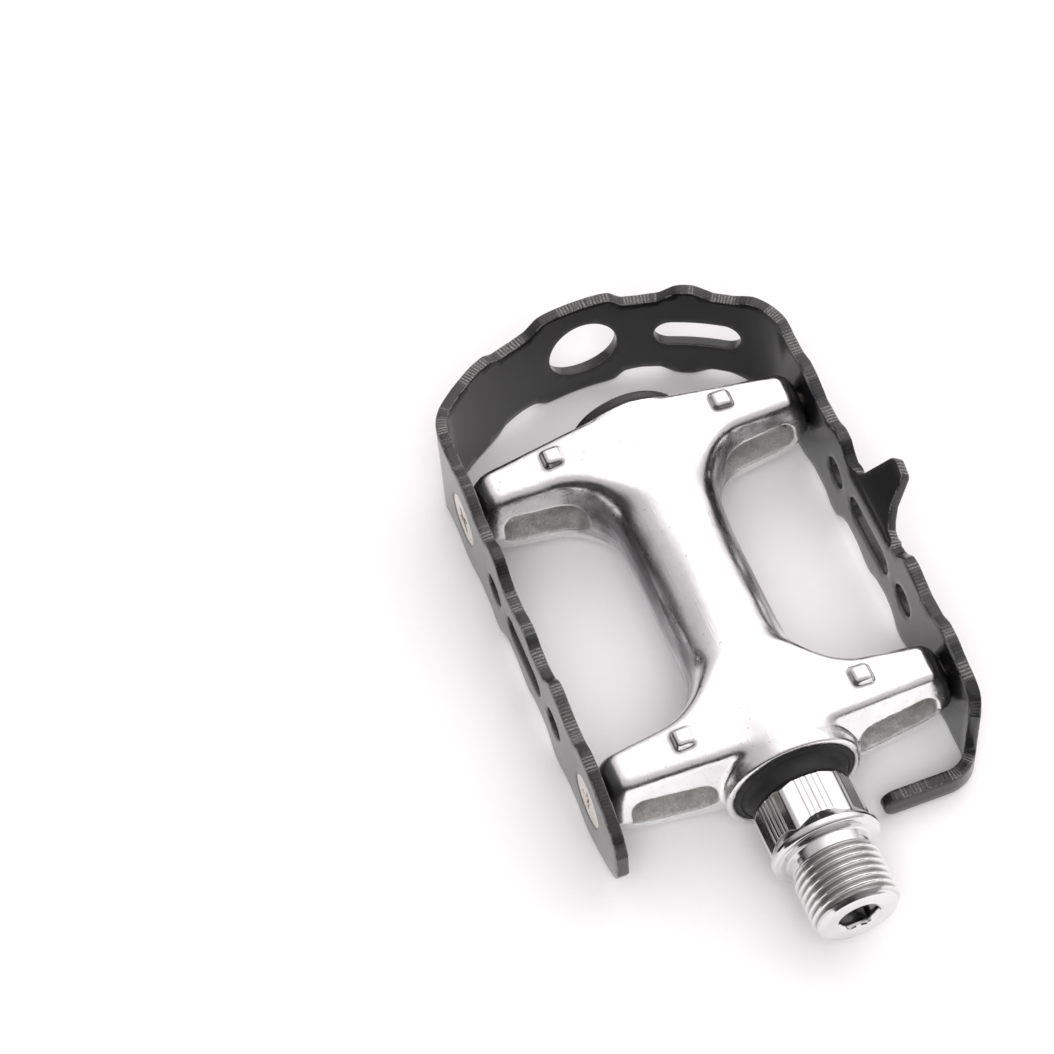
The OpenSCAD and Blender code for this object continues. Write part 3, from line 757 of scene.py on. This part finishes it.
def make_cage():
    depths = np.array([0.0, 0.09, 0.3, 0.75, 1.3, 1.72, 1.92, 2.0])
    insets = np.array([0.3, 0.09, 0.0, 0.0, 0.0, 0.0, 0.08, 0.26])
    ribbed = np.array([0.15, 0.6, 1.0, 1.0, 1.0, 0.9, 0.5, 0.1])
    flat, level, edge, walls, rings = [], [], [], [], []
    start = 0
    for k, (loop, countersink) in enumerate([(cage_outline(), None), *cage_holes()]):
        normal = loop_normals(loop)
        inward = -1 if k == 0 else 1
        n = len(loop)
        wave = np.zeros(n)
        rub_and_plateau_light = np.full(n, 0.08)
        # Bevel rows take at least this much bare fleck: a painted highlight line, steady round each hole and
        # broken along the outline, partly rubbed-off paint.
        bevel_highlight_and_rub = 0.3
        if k == 0:
            rng = np.random.default_rng(7)
            phase = np.arange(n) * LOOP_STEP / 0.6 + np.cumsum(rng.random(n) - 0.5) * 0.12
            loose = np.convolve(rng.random(n + 4), np.ones(5) / 5, "valid")
            patch = ease((np.convolve(rng.random(n + 27), np.ones(28) / 28, "valid") - 0.47) / 0.05)
            # The cut edge's flat tops and bottoms take more bare fleck than its slopes: partly rubbed-off
            # paint, partly painted light where the faces catch it, with painted shade on the slopes.
            plateau = ease((normal[:, 1] ** 2 - 0.88) / 0.08)
            wave = 0.19 * (np.abs((phase % 1) * 2 - 1) - 0.5) * loose * (0.25 + 0.75 * patch * plateau)
            crest = np.clip(wave / 0.07 + 0.45, 0, 1)
            rub_and_plateau_light = (0.04 + 0.8 * crest * patch) * (0.12 + 0.88 * plateau)
            bevel_highlight_and_rub = 0.55 * ease((np.convolve(rng.random(n + 11), np.ones(12) / 12, "valid") - 0.45) / 0.1)
        ids = []
        for d, inset, rib in zip(depths, insets, ribbed):
            wide = 0.0
            if countersink is not None:
                wide = max(0.0, countersink * (1 - d / 1.9))
            p = loop + normal * (inward * (inset + wide) + wave * rib)[:, None]
            flat.append(p)
            level.append(np.full(n, d))
            on_wall = 0.0 if d in (0.0, 2.0) else 1.0
            edge.append(on_wall * (np.maximum(rub_and_plateau_light, bevel_highlight_and_rub) if d in (0.09, 1.92) else rub_and_plateau_light))
            ids.append(start + np.arange(n))
            start += n
        rings.append(ids)
        for a, b in zip(ids, ids[1:]):
            walls.append(np.stack([a, np.roll(a, -1), np.roll(b, -1), b], 1))
    flat, level, edge = np.vstack(flat), np.concatenate(level), np.concatenate(edge)

    faces = list(walls)
    extra_flat, extra_level = [], []
    for side, depth in ((0, 0.0), (-1, SHEET_T)):
        loops = [ids[side] for ids in rings]
        ids = np.concatenate(loops)
        border = flat[ids]
        edges, base = [], 0
        for loop in loops:
            n = len(loop)
            edges += [(base + i, base + (i + 1) % n) for i in range(n)]
            base += n
        coarse = np.meshgrid(np.arange(0.6, PATH_S[-1], 1.0), np.arange(-10.5, 15.0, 1.5))
        fine = np.meshgrid(np.arange(s_at_y(59.5, True), s_at_y(42.5, True), 0.8), np.arange(5.2, 8.4, 0.4))
        coarse = np.stack([coarse[0].ravel(), coarse[1].ravel()], 1)
        fine = np.stack([fine[0].ravel() + 0.05, fine[1].ravel() + 0.03], 1)
        grid = np.vstack([coarse, fine])
        outlines = [flat[loop] for loop in loops]
        near = np.full(len(grid), 9.0)
        for chunk in range(0, len(border), 600):
            b = border[chunk : chunk + 600]
            d2 = (grid[:, None, 0] - b[None, :, 0]) ** 2 + (grid[:, None, 1] - b[None, :, 1]) ** 2
            near = np.minimum(near, np.sqrt(d2.min(1)))
        keep = grid[inside_loops(grid, outlines) & (near > 0.45)]
        coords = [Vector(p) for p in np.vstack([border, keep]).tolist()]
        made, _, tris, original, _, _ = delaunay_2d_cdt(coords, edges, [], 0, 1e-7, True)
        lookup = []
        for k, source in enumerate(original):
            if source and source[0] < len(ids):
                lookup.append(int(ids[source[0]]))
            else:
                lookup.append(start + len(extra_flat))
                extra_flat.append(tuple(made[k]))
                extra_level.append(depth)
        points2 = np.array([tuple(v) for v in made])
        tri = np.array([t for t in tris if len(t) == 3])
        ok = inside_loops(points2[tri].mean(1), outlines)
        mapped = np.array(lookup)[tri[ok]]
        faces.append(mapped if side == 0 else mapped[:, ::-1])
    flat = np.vstack([flat, np.array(extra_flat)])
    level = np.concatenate([level, extra_level])
    edge = np.concatenate([edge, np.zeros(len(extra_level))])
    points = bend_sheet(flat[:, 0], flat[:, 1], level)
    all_faces = []
    for f in faces:
        all_faces += f.tolist()
    marks = {"edge": edge}
    slot, nodes = "cage_sheet", ["cage"]
    obj = piece("sheet_cage", points, all_faces, SHEET, "pedal", nodes, sharp=38, marks=marks)
    fix_normals(obj)


def fix_normals(obj):
    bm = bmesh.new()
    bm.from_mesh(obj.data)
    bmesh.ops.recalc_face_normals(bm, faces=bm.faces)
    bm.to_mesh(obj.data)
    bm.free()


make_cage()


# ---------------------------------------------------------------- spindle

TURNS = 480
# The 9/16 inch by 20 threads per inch thread, the flange's start radius, and half widths across flats.
PITCH, CREST, ROOT, NECK = 1.27, 7.1438, 6.42, 6.6
KEY_HALF, FLAT_HALF = 3.0, 7.5


def make_spindle():
    angle = np.arange(TURNS) * 2 * math.pi / TURNS

    def hexagon(half, rot, cap):
        a = (angle - rot + math.pi / 6) % (math.pi / 3) - math.pi / 6
        return smin(half / np.cos(a), cap, 0.12), half * np.tan(a)

    key, _ = hexagon(KEY_HALF, math.pi / 2, 3.6)
    rows = [(0, -5.1), (1.2, -5.5), (2.5, -6.0), (2.9, -6.05)]
    rows += [(key, y) for y in np.linspace(-6.1, -11.35, 8)]
    rows += [(key + 0.1, -11.55), (smax(key, 3.45, 0.2), -11.75), (3.75, -11.93), (4.0, STUB_END)]
    rows += [(r, STUB_END) for r in (4.5, 5.0, 5.4)]
    rows += [(5.7, STUB_END + 0.03), (5.9, STUB_END + 0.12)]
    for y in np.arange(STUB_END + 0.2, -1.75, 0.0635):
        phase = (y / PITCH + angle / (2 * math.pi)) % 1
        tri = 1 - np.abs(2 * phase - 1)
        form = np.clip((tri - 0.12) / 0.74, 0, 1)
        form = form * form * (3 - 2 * form) * 0.35 + form * 0.65
        r = ROOT + (CREST - ROOT) * form
        r = smin(r, 6.0 + (y - STUB_END) * 1.02, 0.1)
        fade = np.clip((-2.0 - y) / 1.0, 0, 1)
        r = NECK + (r - NECK) * np.where(r > NECK, fade, np.minimum(fade * 2.5, 1))
        rows.append((r, y))
    rows += [(NECK, -1.6), (NECK, -1.0), (NECK, -0.45), (6.66, -0.22), (6.82, -0.08), (7.05, -0.02)]
    rows += [(7.3, 0.0), (7.9, 0.0), (8.0, 0.03), (8.06, 0.12), (8.12, 0.16), (8.4, 0.18), (8.62, 0.24)]
    rows += [(8.8, 0.38), (8.91, 0.58), (8.95, 0.8), (8.95, 1.1), (8.94, 1.3), (8.88, 1.48)]
    for y in [*np.arange(1.6, 4.4, 0.1), *np.arange(4.5, 9.0, 0.25), *np.arange(9.05, 9.81, 0.075)]:
        face, across = hexagon(FLAT_HALF, math.pi / 2, 8.45)
        for groove in (-1.9, -0.95, 0.0, 0.95, 1.9):
            depth = 0.11 * np.clip(1 - np.abs(across - groove) / 0.3, 0, 1)
            face = face - depth
        face = smin(face, 8.2 + (9.45 - y) * 0.9, 0.15)
        cone = 8.9 - 0.72 * (y - 1.42)
        rows.append((smax(face, cone, 0.14), y))
    rows += [(7.5, 9.88), (7.28, 9.9), (7.2, 10.0), (7.2, 12), (7.2, 14.5), (7.2, 16.7), (7.1, 16.88)]
    shaft = [(7.1, 16.88), (5.1, 16.9), (5.08, 26), (4.6, 34), (4.6, 68), (4.3, 72), (4.3, 72.9), (3.5, 73.7)]
    shaft += [(3.5, 84.6), (2.9, SHAFT_END), (0.5, SHAFT_END)]
    rows += [*rounded(shaft, 0.8, 5)[1:], (0, SHAFT_END)]
    verts, faces = turned(rows, TURNS)
    rho = np.hypot(verts[:, 0], verts[:, 2])
    threaded = (verts[:, 1] > STUB_END + 0.6) & (verts[:, 1] < -2.2) & (rho > 6.35)
    groove = np.where(threaded, np.clip((7.02 - rho) / 0.45, 0, 1), 0)
    groove = np.where(threaded & (verts[:, 1] < STUB_END + 1.2), groove * 0.5, groove)
    marks = {"groove": groove}
    slot, nodes = "chromed_steel", ["spindle"]
    obj = piece("threaded_spindle", verts, faces, CHROME, "spindle", nodes, sharp=32, marks=marks)
    fix_normals(obj)


make_spindle()


# ---------------------------------------------------------------- seal, cap and screws

SEAL = [(7.26, 15.7), (7.26, 10.14), (7.8, 10.12), (8.15, 10.9), (8.35, 11.9), (8.75, 12.45), (9.0, 12.7),
    (9.2, 12.5), (9.45, 12.72), (9.7, 12.98), (10.05, 13.0), (10.1, 13.2), (10.1, 15.7), (7.26, 15.7)]
CAP = [(0, 85.7), (7.2, 85.7), (7.2, 80.6), (8.66, 80.6), (8.66, 83.45), (10.1, 83.45), (10.1, 84.9),
    (9.5, 85.6), (8.2, 86.0), (8.0, 86.3), (6.6, 86.72), (6.2, 86.45), (2.2, 86.6), (1.9, 86.75), (0, 86.78)]
obj = lathe_piece("rim_seal", SEAL, 128, 0.22, RUBBER, "pedal", ["seal"])
fix_normals(obj)
obj = lathe_piece("end_dust_cap", CAP, 128, 0.5, PLASTIC, "pedal", ["dust_cap"])
fix_normals(obj)


def cage_screw_mesh():
    """A countersunk cross-recess screw along -X from its head face at zero, with a real helical thread."""
    count = 120
    angle = np.arange(count) * 2 * math.pi / count

    def recess(r):
        u, v = r * np.cos(angle + 0.4), r * np.sin(angle + 0.4)
        best = np.zeros(count)
        for a, b in ((u, v), (v, u)):
            width = 0.62 - 0.07 * np.abs(a)
            side = np.clip((width - np.abs(b)) / 0.16, 0, 1)
            deep = np.clip((2.45 - np.abs(a)) / 0.85, 0, 1) * 1.15 + np.clip(1 - np.abs(a) / 1.0, 0, 1) * 0.5
            best = np.maximum(best, side * side * (3 - 2 * side) * deep)
        return best

    rows = [(0, 1.65)]
    for r in np.concatenate([np.linspace(0.12, 2.7, 30), [3.1, 3.6, 4.0, 4.25]]):
        rows.append((r, recess(r) + 0.012 * (r / 4.4) ** 2))
    rows += [(4.42, 0.02), (4.5, 0.08), (4.5, 0.16), (2.62, 2.0), (2.45, 2.12)]
    for y in np.arange(2.2, 8.3, 0.1):
        phase = (y / 0.8 - angle / (2 * math.pi)) % 1
        form = np.clip((1 - np.abs(2 * phase - 1) - 0.1) / 0.75, 0, 1)
        r = 2.06 + 0.4 * form
        r = smin(r, 1.75 + (8.5 - y) * 1.0, 0.1)
        rows.append((r, y))
    rows += [(1.7, 8.45), (1.4, 8.55), (0, 8.58)]
    return turned(rows, count)


# CAD node, arm, side of the pedal, and how far the head is turned.
SCREWS = (
    ("left_inboard_screw", IN_ARM, -1, 0.3),
    ("left_outboard_screw", OUT_ARM, -1, 1.1),
    ("right_inboard_screw", IN_ARM, 1, 0.7),
    ("right_outboard_screw", OUT_ARM, 1, 0.1),
)
HEAD_SUNK = 0.06


def make_screws():
    verts, faces = cage_screw_mesh()
    for name, arm, side, turn in SCREWS:
        c, s = math.cos(turn), math.sin(turn)
        x = verts[:, 0] * c - verts[:, 2] * s
        z = verts[:, 0] * s + verts[:, 2] * c
        placed = np.stack([side * (CAGE_W - HEAD_SUNK - verts[:, 1]), arm + SCREW_PAST + side * x, z], 1)
        title = name.replace("screw", "cage_screw")
        obj = piece(title, placed, faces, SCREW, "pedal", [name], sharp=35)
        fix_normals(obj)


make_screws()

# ---------------------------------------------------------------- bearings carried over from the CAD

for name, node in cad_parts.items():
    if node.hide_render:
        continue
    material = BALL if "ball" in name else PLATED if name.startswith("lock") else RACE
    node.data.materials.clear()
    node.data.materials.append(material)
    node.data.shade_smooth()
    node.data.set_sharp_from_angle(angle=math.radians(30))


# ---------------------------------------------------------------- floor, light and camera


FLOOR_GAP, FLOOR_HALF = 0.0004, 3.0
WORLD_STRENGTH = 0.72
# Where the sky's bright side lies, and its brightness from the dark side (0) to the bright side (1).
SKY_SIDE = (0.45, 0.45, 0.77)
SKY_STOPS = [(0.0, 0.10), (0.3, 0.07), (0.42, 0.05), (0.5, 0.32), (0.58, 0.72), (0.8, 1.0), (0.9, 1.7),
    (0.97, 2.5)]
# The photograph's camera, from the fit to its points: lens for a 36 mm sensor, place in mm, and its axes.
LENS = 106.3
CAMERA_AT = Vector((-99.03, -195.67, 427.5))
CAMERA_RIGHT = Vector((0.9349, -0.3511, -0.0519))
CAMERA_UP = Vector((0.3211, 0.7745, 0.5451))
CAMERA_BACK = Vector((-0.1512, -0.5263, 0.8368))


def make_stage():
    z, h = cad_box[0].z - FLOOR_GAP, FLOOR_HALF
    mesh = bpy.data.meshes.new("studio_floor")
    mesh.from_pydata([(-h, -h, z), (h, -h, z), (h, h, z), (-h, h, z)], [], [(0, 1, 2, 3)])
    kit = Kit("pale_floor")
    paper = kit.ramp(kit.noise(800, 3), 0.3, 0.7)
    kit.set("Base Color", kit.mix_colour(paper, (0.95, 0.942, 0.944, 1), (0.965, 0.958, 0.96, 1)))
    kit.set("Roughness", 0.75)
    kit.set("Specular IOR Level", 0.2)
    mesh.materials.append(kit.mat)
    floor = bpy.data.objects.new("studio_floor", mesh)
    bpy.context.scene.collection.objects.link(floor)


def area_light(name, at, target, size, power):
    light = bpy.data.lights.new(name, "AREA")
    light.shape = "RECTANGLE"
    light.size, light.size_y = size
    light.energy = power
    obj = bpy.data.objects.new(name, light)
    obj.location = at
    obj.rotation_mode = "QUATERNION"
    obj.rotation_quaternion = (Vector(target) - Vector(at)).to_track_quat("-Z", "Y")
    bpy.context.scene.collection.objects.link(obj)
    return obj


def make_light():
    world = bpy.data.worlds.new("studio")
    bpy.context.scene.world = world
    world.use_nodes = True
    tree = world.node_tree
    back = tree.nodes["Background"]
    coord = tree.nodes.new("ShaderNodeTexCoord")
    side = tree.nodes.new("ShaderNodeVectorMath")
    side.operation = "DOT_PRODUCT"
    side.inputs[1].default_value = SKY_SIDE
    tree.links.new(coord.outputs["Generated"], side.inputs[0])
    band = tree.nodes.new("ShaderNodeValToRGB")
    shift = tree.nodes.new("ShaderNodeMapRange")
    shift.inputs["From Min"].default_value = -1
    tree.links.new(side.outputs["Value"], shift.inputs["Value"])
    tree.links.new(shift.outputs["Result"], band.inputs["Fac"])
    while len(band.color_ramp.elements) < len(SKY_STOPS):
        band.color_ramp.elements.new(0.5)
    for element, (place, value) in zip(band.color_ramp.elements, SKY_STOPS):
        element.position = place
        element.color = (value, value * 0.96, value * 0.975, 1)
    tree.links.new(band.outputs["Color"], back.inputs["Color"])
    back.inputs["Strength"].default_value = WORLD_STRENGTH
    fill = area_light("front_fill", (-0.2, -0.5, 0.75), (0, 0.05, 0), (0.6, 0.6), 4.8)
    fill.visible_glossy = False


def make_camera():
    data = bpy.data.cameras.new("camera")
    data.sensor_width = 36
    data.lens = LENS
    data.clip_start, data.clip_end = 0.02, 10
    cam = bpy.data.objects.new("camera", data)
    matrix = Matrix([CAMERA_RIGHT, CAMERA_UP, CAMERA_BACK]).transposed().to_4x4()
    matrix.translation = CAMERA_AT * MM
    cam.matrix_world = matrix
    bpy.context.scene.collection.objects.link(cam)
    bpy.context.scene.camera = cam


make_stage()
make_light()
make_camera()
bpy.context.scene.view_settings.view_transform = "Standard"
bpy.context.scene.view_settings.look = "None"

bpy.context.view_layer.update()
